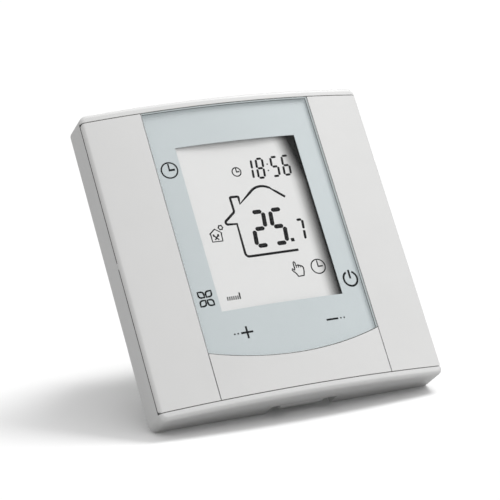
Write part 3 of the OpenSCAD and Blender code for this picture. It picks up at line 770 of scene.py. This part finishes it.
class THERMOSTAT_OT_housing(bpy.types.Operator):
    """Model the crowned front housing"""

    bl_idname = "thermostat.housing"
    bl_label = "Front housing"

    def execute(self, context):
        s = sizes()
        low, high = HOUSING_LOW, HOUSING_HIGH
        body = block(low, high)
        bevel_edges(body, along_y, s.corner, 8)
        bevel_edges(body, lambda a, b: near(a.y, low.y) and near(b.y, low.y), s.rim_round, 6)
        # recess for the panels, open at both sides
        deck_front = low.y + s.panel + GLUE_GAP
        cut(body, block((-FAR, low.y - FAR, -seam_z()), (FAR, deck_front, seam_z())))
        # room behind the deck
        in_x, in_z = high.x - s.wall, high.z - s.wall
        deck_back = low.y + s.panel + s.deck
        cut(body, block((-in_x, deck_back, -in_z), (in_x, FAR, in_z)))
        # display opening and spring holes
        gap = DISPLAY_GAP
        cut(body, block((GLASS_LOW.x - gap, low.y - FAR, GLASS_LOW.z - gap),
                        (GLASS_HIGH.x + gap, low.y + DISPLAY_CUT_DEPTH, GLASS_HIGH.z + gap)))
        for x, z in key_places():
            cut(body, rod(SPRING_HOLE_RADIUS, low.y - FAR, deck_back + 0.5 * MM, x, z, sides=32))
        # bosses for the control board's screws
        board_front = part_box("control_board")[0].y
        screw_low, screw_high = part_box("board_screws")
        inset = SCREW_HEAD_RADIUS
        for x in (screw_low.x + inset, screw_high.x - inset):
            for z in (screw_low.z + inset, screw_high.z - inset):
                weld_on(body, rod(BOSS_RADIUS, deck_back - 0.6 * MM, board_front, x, z, sides=32))
                cut(body, rod(BOSS_HOLE_RADIUS, board_front - BOSS_HOLE_DEPTH, FAR, x, z, sides=24))
        # lugs that hang on the plate's bars
        bar = frame_joint("front_swing")
        for x in (-LUG_X, LUG_X):
            weld_on(body, block((x - LUG_HALF_WIDTH, -4 * MM, bar.z - 0.5 * MM),
                                (x + LUG_HALF_WIDTH, high.y - 0.2 * MM, in_z + 0.1 * MM)))
            cut(body, cylinder(BAR_HOLE_RADIUS, 10 * MM, (x, bar.y, bar.z), (0, math.pi / 2, 0), 32))
        # latch opening with a rib at each side
        latch_low, latch_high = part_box("release_latch")
        middle = (latch_low.x + latch_high.x) / 2
        half = LATCH_HALF_WIDTH
        cut(body, block((middle - half, high.y - LATCH_CUT_DEPTH, -FAR),
                        (middle + half, FAR, 0.1 * MM - in_z)))
        for side in (-1, 1):
            x = middle + side * (half + 1 * MM)
            weld_on(body, block((x - RIB_HALF_WIDTH, -2.1 * MM, -in_z - 0.1 * MM),
                                (x + RIB_HALF_WIDTH, -1.5 * MM, -in_z + 0.25 * MM)))
        # air slots in the top wall
        for i in range(AIR_SLOTS):
            x = (i - (AIR_SLOTS - 1) / 2) * AIR_SLOT_PITCH
            cut(body, block((x - AIR_SLOT_HALF_WIDTH, -7.4 * MM, in_z - 1 * MM),
                            (x + AIR_SLOT_HALF_WIDTH, -3 * MM, FAR)))
        soften(body)
        slice_columns(body, low.x, high.x, HOUSING_COLUMN)
        c = colours()
        body.data.materials.append(moulded_plastic("housing_plastic", c.housing))
        # painted shade: the deck's front faces, seen through the seams, get the housing plastic darkened
        # to 0.12
        body.data.materials.append(moulded_plastic("deck_painted_shade", shade_of(c.housing, 0.12)))
        for face in body.data.polygons:
            if near(face.center.y, deck_front) and face.normal.y < -0.9:
                face.material_index = 1
        crown(body, behind=CROWN_LIMIT_Y)
        shade(body)
        settle(body, "front_housing_moulding", None, FRONT, "housing_plastic", "front_housing")
        return {"FINISHED"}


def frame_joint(name):
    """Where a joint's axis passes, in the frame."""
    return next(Vector(joint["pos_m"]) for joint in frame["joints"] if joint["name"] == name)


class THERMOSTAT_OT_strips(bpy.types.Operator):
    """Model the two side strips"""

    bl_idname = "thermostat.strips"
    bl_label = "Side strips"

    def execute(self, context):
        s = sizes()
        material = moulded_plastic("panel_plastic", colours().panels, 0.36, 3200.0, 0.000003)
        outer = HOUSING_HIGH.x
        for side, name in ((-1, "left"), (1, "right")):
            ends = sorted((side * strip_start(), side * outer))
            strip = block((ends[0], FRONT_Y, -panel_z()), (ends[1], FRONT_Y + s.panel, panel_z()))
            bevel_edges(
                strip,
                lambda a, b: near(a.x, side * outer) and near(b.x, side * outer)
                and near(a.y, FRONT_Y) and near(b.y, FRONT_Y),
                s.strip_round, 8,
            )
            # corners rounded as seen from the front
            wide = sorted((side * (strip_start() - 5 * MM), side * outer))
            outline = block((wide[0], FRONT_Y - FAR, -panel_z()), (wide[1], FRONT_Y + FAR, panel_z()))
            bevel_edges(outline, lambda a, b: along_y(a, b) and near(a.x, side * outer), 0.9 * MM, 6)
            keep_inside(strip, outline)
            # seam along the side wall, bridged at mid-height
            inner = sorted((side * (outer - STRIP_REBATE), side * FAR))
            for z in (-1, 1):
                rows = sorted((z * STRIP_BRIDGE_HALF, z * FAR))
                cut(strip, block((inner[0], FRONT_Y + s.strip_round - 0.12 * MM, rows[0]),
                                 (inner[1], FAR, rows[1])))
            soften(strip, 0.1 * MM)
            slice_columns(strip, ends[0], ends[1], PANEL_COLUMN)
            crown(strip)
            shade(strip)
            settle(strip, "side_strip_" + name + "_moulding", material, FRONT, "panel_plastic",
                   "side_strip_" + name)
        return {"FINISHED"}


class THERMOSTAT_OT_fascia(bpy.types.Operator):
    """Model the fascia below the lens"""

    bl_idname = "thermostat.fascia"
    bl_label = "Lower fascia"

    def execute(self, context):
        s = sizes()
        half = lens_half_width()
        fascia = block((-half, FRONT_Y, -panel_z()),
                       (half, FRONT_Y + s.panel, LENS_LOW.z + s.lens_bulge - s.seam))
        cut(fascia, bulge_disc(s.seam))
        soften(fascia, 0.08 * MM)
        slice_columns(fascia, -half, half, PANEL_COLUMN)
        crown(fascia)
        shade(fascia)
        settle(fascia, "lower_fascia_moulding", finish_of("panel_plastic"), FRONT,
               "panel_plastic", "lower_fascia")
        return {"FINISHED"}


class THERMOSTAT_OT_lens(bpy.types.Operator):
    """Model the clear touch lens and the printed film behind it"""

    bl_idname = "thermostat.lens"
    bl_label = "Touch lens and film"

    def execute(self, context):
        s = sizes()
        half = lens_half_width()
        film_front = FRONT_Y + s.panel - s.film
        lens = block((-half, FRONT_Y, LENS_LOW.z), (half, film_front - 0.06 * MM, LENS_HIGH.z))
        keep_inside(lens, bulge_disc(0))
        soften(lens, 0.15 * MM, segments=3)
        slice_columns(lens, -half, half, PANEL_COLUMN)
        crown(lens)
        shade(lens)
        lens.data.materials.append(clear_lens())
        lens.data.materials.append(lens_edge())
        # the side faces get the lens_edge material, whose inner faces emit painted light
        for face in lens.data.polygons:
            if abs(face.normal.y) < 0.5:
                face.material_index = 1
        settle(lens, "touch_lens_plate", None, FRONT, "lens_plastic", "touch_lens")

        inset = 0.12 * MM
        film = block((inset - half, film_front, LENS_LOW.z + inset),
                     (half - inset, film_front + s.film, LENS_HIGH.z - inset))
        keep_inside(film, bulge_disc(-inset))
        cut(film, window_tool(0))
        slice_columns(film, -half, half, PANEL_COLUMN)
        crown(film)
        shade(film)
        settle(film, "printed_film_sheet", printed_film(), FRONT, "printed_film", "print_film")
        return {"FINISHED"}


# ---- printed marks and display segments ----


def arc(x, z, radius, start, end, count=28):
    """Points along an arc; angles in degrees from +X towards +Z."""
    return [
        (x + radius * math.cos(math.radians(start + (end - start) * i / count)),
         z + radius * math.sin(math.radians(start + (end - start) * i / count)))
        for i in range(count + 1)
    ]


def ring(x, z, radius, count=32):
    return arc(x, z, radius, 0, 360, count)[:-1]


def stroke(points, width, closed=False, taper=1.0):
    """One line of a drawing in mm; taper narrows its two ends."""
    return {"points": points, "width": width, "closed": closed, "taper": taper}


def draw(strokes, depth_y, follow_crown):
    """Turns strokes into one thin mesh that stands on a surface at this depth."""
    data = bpy.data.curves.new("drawing", "CURVE")
    data.dimensions = "3D"
    data.bevel_depth = MM / 2
    data.bevel_resolution = 2
    data.use_fill_caps = True
    for line in strokes:
        points = line["points"]
        spline = data.splines.new("POLY")
        spline.points.add(len(points) - 1)
        spline.use_cyclic_u = line["closed"]
        for i, (x, z) in enumerate(points):
            spline.points[i].co = (x * MM, 0, z * MM, 1)
            end = not line["closed"] and i in (0, len(points) - 1)
            spline.points[i].radius = line["width"] * (line["taper"] if end else 1.0)
    drawing = bpy.data.objects.new("drawing", data)
    bpy.context.scene.collection.objects.link(drawing)
    only(drawing)
    bpy.ops.object.convert(target="MESH")
    drawing = bpy.context.object
    widest = max(line["width"] for line in strokes) * MM / 2
    for vertex in drawing.data.vertices:
        drop = crown_drop(vertex.co.x) if follow_crown else 0.0
        raised = min(1.0, max(-1.0, vertex.co.y / widest * 4))
        vertex.co.y = raised * sizes().ink + depth_y + drop
    only(drawing)
    bpy.ops.object.mode_set(mode="EDIT")
    bpy.ops.mesh.select_all(action="SELECT")
    bpy.ops.mesh.normals_make_consistent(inside=False)
    bpy.ops.object.mode_set(mode="OBJECT")
    bpy.ops.object.shade_smooth_by_angle(angle=math.radians(50))
    return drawing


def bar(a, b, width):
    """A segment with slanted ends."""
    length_mm = math.dist(a, b)
    step = min(0.32 * width, length_mm / 3) / length_mm
    inner = [(a[0] + (b[0] - a[0]) * t, a[1] + (b[1] - a[1]) * t) for t in (step, 1 - step)]
    return stroke([a, inner[0], inner[1], b], width, taper=0.4)


SEGMENTS = {
    "1": "bc", "2": "abged", "5": "afgcd", "6": "afgedc", "7": "abc", "8": "abcdefg",
}
SLANT = 0.11


def digit(figure, x, z, width, height, line):
    """Seven-segment figure: x, z is where its left side meets its lower bar."""
    gap = 0.3 * line

    def at(u, v):
        return (x + u + SLANT * v, z + v)

    half = height / 2
    places = {
        "a": (at(gap, height), at(width - gap, height)),
        "b": (at(width, half + gap), at(width, height - gap)),
        "c": (at(width, gap), at(width, half - gap)),
        "d": (at(gap, 0), at(width - gap, 0)),
        "e": (at(0, gap), at(0, half - gap)),
        "f": (at(0, half + gap), at(0, height - gap)),
        "g": (at(gap, half), at(width - gap, half)),
    }
    return [bar(*places[key], line) for key in SEGMENTS[figure]]


def clock(x, z, radius, line, hand, hour):
    """A clock face that reads three o'clock."""
    return [
        stroke(ring(x, z, radius), line),
        stroke([(x, z), (x, z + radius * 0.86)], hand),
        stroke([(x - hand / 2, z), (x + radius * 0.68, z)], hour),
    ]


def closed(lines):
    for line in lines:
        if len(line["points"]) > 20:
            line["closed"] = True
    return lines


def house():
    """Outline of a house with a chimney, open on its right side."""
    return [stroke(
        [(10.3, 13.0), (8.0, 14.9), (6.6, 16.0)] + arc(3.65, 12.2, 4.85, 52, 128, 12)
        + [(0.0, 15.5), (-3.9, 12.5), (-3.78, 14.4)] + arc(-4.15, 14.4, 0.4, 20, 90, 4)
        + arc(-5.95, 14.45, 0.4, 90, 170, 4) + [(-6.3, 10.6), (-6.5, 10.2)]
        + arc(-9.1, 7.5, 0.62, 130, 260, 8) + [(-6.5, 6.72)]
        + arc(-5.5, -2.15, 1.12, 180, 270, 8) + [(9.5, -3.25)], 0.74)]


def hand():
    """A pointing hand."""
    outline = [
        (6.68, -8.75), (6.66, -6.95), (6.95, -6.55), (7.25, -6.95), (7.25, -7.85),
        (7.9, -7.7), (8.5, -7.95), (9.05, -8.2), (9.35, -8.7), (9.2, -9.9), (8.85, -11.0),
        (7.15, -11.05), (6.7, -10.1), (5.8, -9.0), (5.95, -8.6), (6.68, -9.1),
    ]
    knuckles = [[(7.3, -7.9), (7.3, -8.5)], [(7.95, -7.8), (7.95, -8.5)], [(8.6, -8.0), (8.6, -8.55)]]
    return [stroke(outline, 0.4)] + [stroke(line, 0.3) for line in knuckles]


def workshop():
    """A small house with crossed tools, and a wheel above it."""
    walls = [(-15.45, 4.65), (-13.6, 6.05), (-11.8, 4.75), (-11.95, 4.55), (-12.1, 2.3), (-15.15, 2.35),
             (-15.15, 4.6)]
    teeth = [
        stroke([(-11.7 + 0.6 * math.cos(a), 6.3 + 0.6 * math.sin(a)),
                (-11.7 + 0.88 * math.cos(a), 6.3 + 0.88 * math.sin(a))], 0.34)
        for a in (math.radians(60 * i) for i in range(6))
    ]
    tools = [
        stroke([(-14.5, 4.35), (-13.05, 2.8)], 0.4), stroke([(-13.0, 4.2), (-14.2, 2.85)], 0.4),
        stroke([(-14.6, 4.2), (-14.15, 4.2)], 0.7), stroke([(-13.25, 4.1), (-12.75, 4.1)], 0.8),
    ]
    return [stroke(walls, 0.4), stroke(ring(-11.7, 6.3, 0.58, 22), 0.34)] + teeth + tools


def day_ticks():
    """Seven ticks for the days of the week, the last one long."""
    return [
        stroke([(-15.6 + 0.62 * i, -15.1), (-15.5 + 0.62 * i, -14.0 if i < 6 else -13.2)],
               0.34 if i < 6 else 0.44)
        for i in range(7)
    ]


def display_drawing():
    lines = []
    for figure, x in zip("1856", (0.6, 4.1, 8.7, 12.25)):
        lines += digit(figure, x, 19.55, 1.95, 5.85, 0.68)
    lines += [stroke([(x - 0.2, z), (x + 0.2, z)], 0.4) for x, z in ((7.85, 23.45), (7.65, 21.5))]
    for figure, x in zip("25", (-2.45, 3.35)):
        lines += digit(figure, x, -0.6, 3.55, 10.1, 1.28)
    lines += [stroke([(8.15, -0.1), (9.2, -0.1)], 1.05)]
    lines += digit("7", 10.7, -0.5, 1.95, 6.1, 0.76)
    lines += closed(clock(-2.1, 22.2, 1.32, 0.36, 0.34, 0.42))
    lines += closed(clock(13.9, -8.95, 2.12, 0.36, 0.36, 0.42))
    return lines + house() + hand() + closed(workshop()) + day_ticks()


def petal(x, z, turn):
    """A leaf: a small square with two round corners and two sharp ones."""
    half, soft = 0.82, 0.75
    points = [(half, half)]
    points += arc(half - soft, soft - half, soft, 0, -90, 5)
    points += [(-half, -half)]
    points += arc(soft - half, half - soft, soft, 180, 90, 5)
    c, s = math.cos(math.radians(turn)), math.sin(math.radians(turn))
    return stroke([(x + c * u - s * v, z + s * u + c * v) for u, v in points], 0.5, closed=True)


def key_drawing():
    lines = closed(clock(-21.85, 24.95, 2.32, 0.42, 0.42, 0.62))
    for x, z, turn in (
        (-20.8, -12.4, 0), (-22.98, -12.4, 90), (-22.98, -14.9, 180), (-20.8, -14.95, 270)
    ):
        lines.append(petal(x, z, turn))
    for points, width in (
        (arc(22.45, -13.95, 2.18, 115, 425, 40), 0.6), ([(22.45, -11.3), (22.45, -13.9)], 0.6),
        ([(-14.85, -25.05), (-11.35, -25.05)], 0.56), ([(-13.1, -23.3), (-13.1, -26.8)], 0.56),
        ([(11.05, -25.1), (14.75, -25.05)], 0.54),
    ):
        lines.append(stroke(points, width))
    for x in (-16.75, -15.75, 15.65, 16.7):
        lines.append(stroke([(x - 0.2, -25.02), (x + 0.2, -25.02)], 0.42))
    return lines


class THERMOSTAT_OT_keys(bpy.types.Operator):
    """Draw the printed key marks on the film"""

    bl_idname = "thermostat.keys"
    bl_label = "Key marks"

    def execute(self, context):
        s = sizes()
        marks = draw(key_drawing(), FRONT_Y + s.panel - s.film - 0.02 * MM, True)
        settle(marks, "key_marks", printed_ink("key_ink", colours().ink), FRONT, "printed_film")
        return {"FINISHED"}


class THERMOSTAT_OT_display(bpy.types.Operator):
    """Model the display's two glass plates and draw its segments"""

    bl_idname = "thermostat.display"
    bl_label = "Display"

    def execute(self, context):
        low, high = GLASS_LOW, GLASS_HIGH
        depth = high.y - low.y
        plates = block((low.x, low.y + 0.15 * MM, low.z), (high.x, low.y + depth / 2, high.z))
        weld_on(plates, block((low.x, low.y + depth / 2 - 0.1 * MM, low.z + GLASS_LEDGE),
                              (high.x, high.y, high.z - GLASS_LEDGE)))
        weld_on(plates, block((low.x + 0.4 * MM, low.y, low.z + 0.4 * MM),
                              (high.x - 0.4 * MM, low.y + 0.3 * MM, high.z - 0.4 * MM)))
        soften(plates, 0.05 * MM)
        shade(plates)
        settle(plates, "display_glass", display_field(), FRONT, "display_glass", "lcd_glass")
        segments = draw(display_drawing(), low.y, False)
        settle(segments, "display_segments", printed_ink("segment_ink", colours().segments), FRONT,
               "display_glass")
        return {"FINISHED"}


# ---- finish of the pieces that keep their modelled shape ----


def dress(node, material, edge=0.12, smooth=True):
    """Gives a node its material and softens its edges; a piece of flat walls is not shaded smooth."""
    piece = frame["nodes"][node]
    piece.data.materials.clear()
    piece.data.materials.append(material)
    weld = piece.modifiers.new("Weld", "WELD")
    weld.merge_threshold = 0.002 * MM
    if edge:
        bevel = piece.modifiers.new("Edges", "BEVEL")
        bevel.width = edge * MM
        bevel.segments = 2
        bevel.limit_method = "ANGLE"
        bevel.angle_limit = math.radians(40)
    for face in piece.data.polygons:
        face.use_smooth = smooth
    if smooth:
        normals = piece.modifiers.new("Normals", "WEIGHTED_NORMAL")
        normals.keep_sharp = True
    return piece


class THERMOSTAT_OT_electronics(bpy.types.Operator):
    """Finish the parts inside the front unit and the power box"""

    bl_idname = "thermostat.electronics"
    bl_label = "Electronics"

    def execute(self, context):
        board = circuit_board()
        screw = plated_metal("screw_steel", (0.62, 0.62, 0.63))
        spring = plated_metal("spring_steel", (0.66, 0.66, 0.66), 0.22)
        black = moulded_plastic("chip_plastic", (0.02, 0.02, 0.021), 0.5)
        white = moulded_plastic("white_plastic", (0.7, 0.7, 0.69), 0.45)
        plain = {
            "control_board": board, "power_board": board, "board_screws": screw,
            "power_board_screws": screw, "touch_springs": spring, "microcontroller": black,
            "buzzer": black, "pin_header": black, "socket_header": black, "lcd_frame": white,
            "light_guide": moulded_plastic("guide_plastic", (0.72, 0.78, 0.76), 0.15, 900.0),
            "backlight_leds": moulded_plastic("led", (0.75, 0.7, 0.35), 0.2),
            "zebra_strips": striped("contact_rubber", (0.02, 0.02, 0.02), (0.55, 0.5, 0.45), 2200.0),
            "crystal": plated_metal("can_metal", (0.7, 0.7, 0.69)),
            "cell_holder": moulded_plastic("connector_plastic", (0.62, 0.58, 0.46), 0.5),
            "coin_cell": plated_metal("cell_steel", (0.68, 0.68, 0.67), 0.3, 2400.0),
            "air_thermistor": moulded_plastic("bead", (0.1, 0.03, 0.015), 0.3),
            "relay": moulded_plastic("relay_plastic", (0.02, 0.06, 0.25), 0.3),
            "bulk_capacitors": striped("capacitor_sleeve", (0.012, 0.018, 0.05), (0.5, 0.5, 0.52),
                                       38.0, "X", 0.93, 0.3),
            "film_capacitor": moulded_plastic("capacitor_yellow", (0.6, 0.4, 0.04), 0.35),
            "varistor": moulded_plastic("varistor_blue", (0.03, 0.1, 0.3), 0.35),
            "transformer_core": moulded_plastic("ferrite", (0.03, 0.03, 0.03), 0.55, 1400.0, 0.00002),
            "transformer_coil": striped("winding_tape", (0.62, 0.42, 0.05), (0.5, 0.33, 0.04),
                                        300.0, "Y"),
        }
        for node, material in plain.items():
            dress(node, material, 0 if node in ("touch_springs", "backlight_leds") else 0.08)
        low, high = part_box("fuse")
        dress("fuse", capped("fuse_ceramic", (0.6, 0.52, 0.4), (0.6, 0.6, 0.6), low.x + 2 * MM,
                             high.x - 2 * MM), 0.08)
        return {"FINISHED"}


class THERMOSTAT_OT_wall_unit(bpy.types.Operator):
    """Finish the wall plate, the power box, the latch and the terminals"""

    bl_idname = "thermostat.wall_unit"
    bl_label = "Wall unit"

    def execute(self, context):
        c = colours()
        screw = finish_of("screw_steel")
        dress("wall_plate", moulded_plastic("plate_plastic", c.plate, 0.5, 1800.0, 0.00001), 0.2, False)
        dress("rear_box", moulded_plastic("box_plastic", c.box, 0.5, 1800.0, 0.00001), 0.25)
        dress("box_screws", screw, 0.08)
        dress("latch_spring", finish_of("spring_steel"), 0)
        # painted light: the latch gets the housing plastic made 1.3 times lighter, for the tab that
        # catches light from the front
        dress("release_latch", moulded_plastic("latch_lit_plastic", shade_of(c.housing, 1.3)), 0.18)
        dress("terminal_block", moulded_plastic("terminal_green", c.terminals, 0.4), 0.15, False)
        dress("terminal_bars", plated_metal("brass", (0.72, 0.5, 0.18), 0.25), 0.06)
        clamp = plated_metal("clamp_steel", (0.6, 0.6, 0.6), 0.35, 1600.0)
        for i in range(1, 7):
            dress("terminal_screw_" + str(i), screw, 0.08)
            dress("wire_clamp_" + str(i), clamp, 0.08)
        return {"FINISHED"}


class THERMOSTAT_PT_panel(bpy.types.Panel):
    bl_idname = "THERMOSTAT_PT_panel"
    bl_label = "Wall Thermostat"
    bl_space_type = "VIEW_3D"
    bl_region_type = "UI"
    bl_category = "Thermostat"

    def draw(self, context):
        for group in (context.scene.thermostat_sizes, context.scene.thermostat_colours):
            box = self.layout.box()
            for key in group.bl_rna.properties.keys():
                if key not in ("rna_type", "name"):
                    box.prop(group, key)
        for operator in STEPS:
            self.layout.operator(operator.bl_idname)


STEPS = (
    THERMOSTAT_OT_camera,
    THERMOSTAT_OT_stage,
    THERMOSTAT_OT_housing,
    THERMOSTAT_OT_strips,
    THERMOSTAT_OT_fascia,
    THERMOSTAT_OT_lens,
    THERMOSTAT_OT_keys,
    THERMOSTAT_OT_display,
    THERMOSTAT_OT_electronics,
    THERMOSTAT_OT_wall_unit,
)
CLASSES = (ThermostatSizes, ThermostatColours) + STEPS + (THERMOSTAT_PT_panel,)


def register():
    for cls in CLASSES:
        bpy.utils.register_class(cls)
    bpy.types.Scene.thermostat_sizes = PointerProperty(type=ThermostatSizes)
    bpy.types.Scene.thermostat_colours = PointerProperty(type=ThermostatColours)


def unregister():
    del bpy.types.Scene.thermostat_colours
    del bpy.types.Scene.thermostat_sizes
    for cls in reversed(CLASSES):
        bpy.utils.unregister_class(cls)


def main():
    register()
    bpy.ops.thermostat.camera()
    bpy.ops.thermostat.stage()
    bpy.ops.thermostat.housing()
    bpy.ops.thermostat.strips()
    bpy.ops.thermostat.fascia()
    bpy.ops.thermostat.lens()
    bpy.ops.thermostat.keys()
    bpy.ops.thermostat.display()
    bpy.ops.thermostat.electronics()
    bpy.ops.thermostat.wall_unit()


if __name__ == "__main__":
    main()
